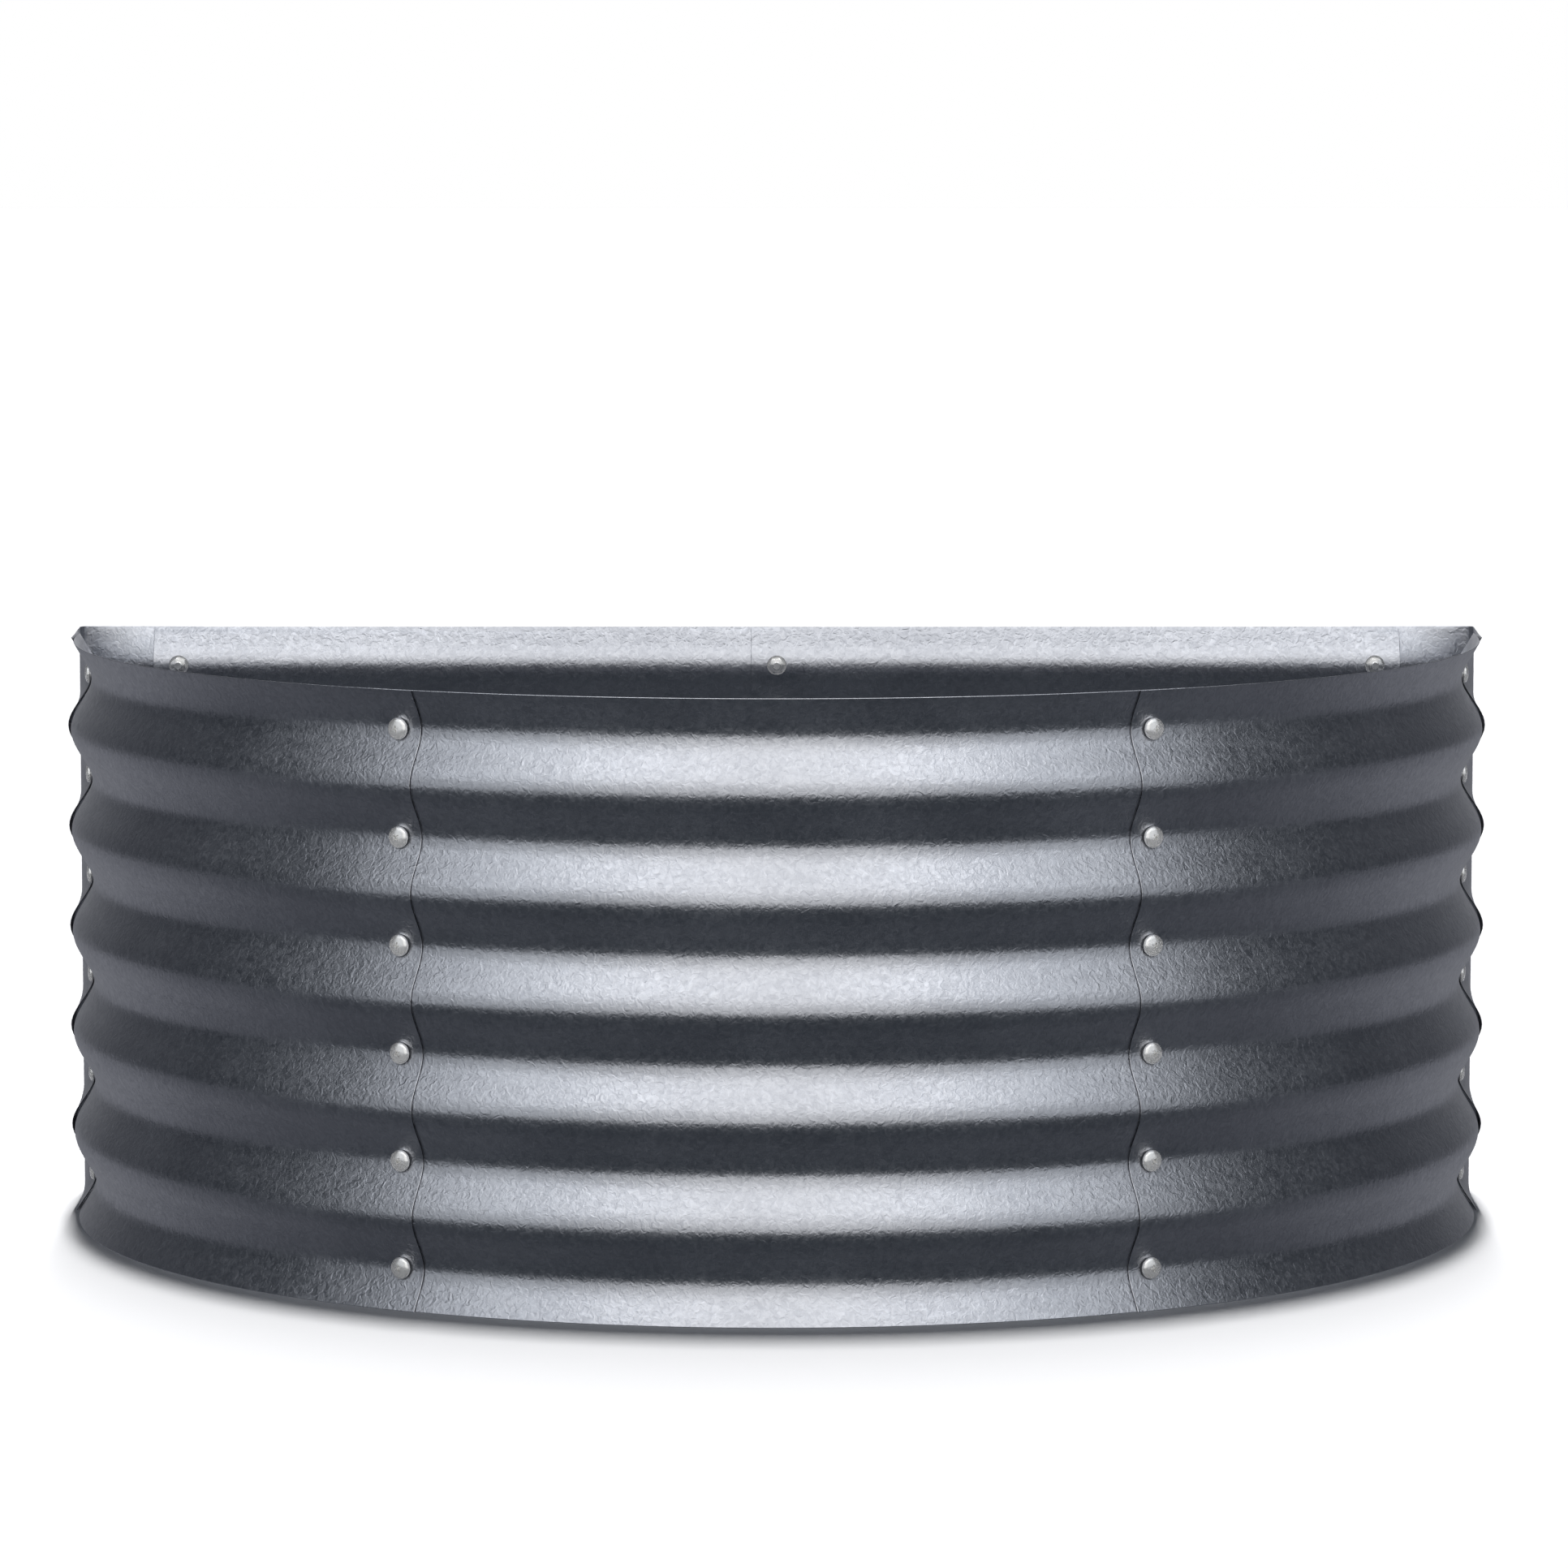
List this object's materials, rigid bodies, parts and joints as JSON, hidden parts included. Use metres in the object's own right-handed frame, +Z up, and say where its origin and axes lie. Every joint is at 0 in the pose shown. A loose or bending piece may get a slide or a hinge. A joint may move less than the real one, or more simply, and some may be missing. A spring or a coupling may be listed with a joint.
{
  "type": "raised garden bed",
  "caption": "Half-round raised garden bed of bolted corrugated galvanised sheet, open at the top and the bottom, with a flat back and pressed corner pieces.",
  "frame": {"origin": "bottom centre of the bed: midway between the corner pieces and between front and back, on the ground", "axes": "+X to the right as seen from the front, +Y to the flat back, +Z up; the round front faces -Y"},
  "size_m": [1, 0.5778, 0.408],
  "materials": {
    "galvanised_sheet": "hot-dip galvanised, satin, with a cloudy spangle",
    "plated_steel": "bright zinc plated"
  },
  "bodies": {
    "root": {"front_panel": "galvanised_sheet", "side_panel_left": "galvanised_sheet", "corner_piece_left": "galvanised_sheet", "back_panel_left": "galvanised_sheet", "side_panel_right": "galvanised_sheet", "corner_piece_right": "galvanised_sheet", "back_panel_right": "galvanised_sheet", "middle_seam_bolt_1": "plated_steel", "middle_seam_bolt_2": "plated_steel", "middle_seam_bolt_3": "plated_steel", "middle_seam_bolt_4": "plated_steel", "middle_seam_bolt_5": "plated_steel", "middle_seam_bolt_6": "plated_steel", "front_seam_left_bolt_1": "plated_steel", "front_seam_left_bolt_2": "plated_steel", "front_seam_left_bolt_3": "plated_steel", "front_seam_left_bolt_4": "plated_steel", "front_seam_left_bolt_5": "plated_steel", "front_seam_left_bolt_6": "plated_steel", "side_seam_left_bolt_1": "plated_steel", "side_seam_left_bolt_2": "plated_steel", "side_seam_left_bolt_3": "plated_steel", "side_seam_left_bolt_4": "plated_steel", "side_seam_left_bolt_5": "plated_steel", "side_seam_left_bolt_6": "plated_steel", "back_seam_left_bolt_1": "plated_steel", "back_seam_left_bolt_2": "plated_steel", "back_seam_left_bolt_3": "plated_steel", "back_seam_left_bolt_4": "plated_steel", "back_seam_left_bolt_5": "plated_steel", "back_seam_left_bolt_6": "plated_steel", "front_seam_right_bolt_1": "plated_steel", "front_seam_right_bolt_2": "plated_steel", "front_seam_right_bolt_3": "plated_steel", "front_seam_right_bolt_4": "plated_steel", "front_seam_right_bolt_5": "plated_steel", "front_seam_right_bolt_6": "plated_steel", "side_seam_right_bolt_1": "plated_steel", "side_seam_right_bolt_2": "plated_steel", "side_seam_right_bolt_3": "plated_steel", "side_seam_right_bolt_4": "plated_steel", "side_seam_right_bolt_5": "plated_steel", "side_seam_right_bolt_6": "plated_steel", "back_seam_right_bolt_1": "plated_steel", "back_seam_right_bolt_2": "plated_steel", "back_seam_right_bolt_3": "plated_steel", "back_seam_right_bolt_4": "plated_steel", "back_seam_right_bolt_5": "plated_steel", "back_seam_right_bolt_6": "plated_steel"}
  },
  "joints": []
}
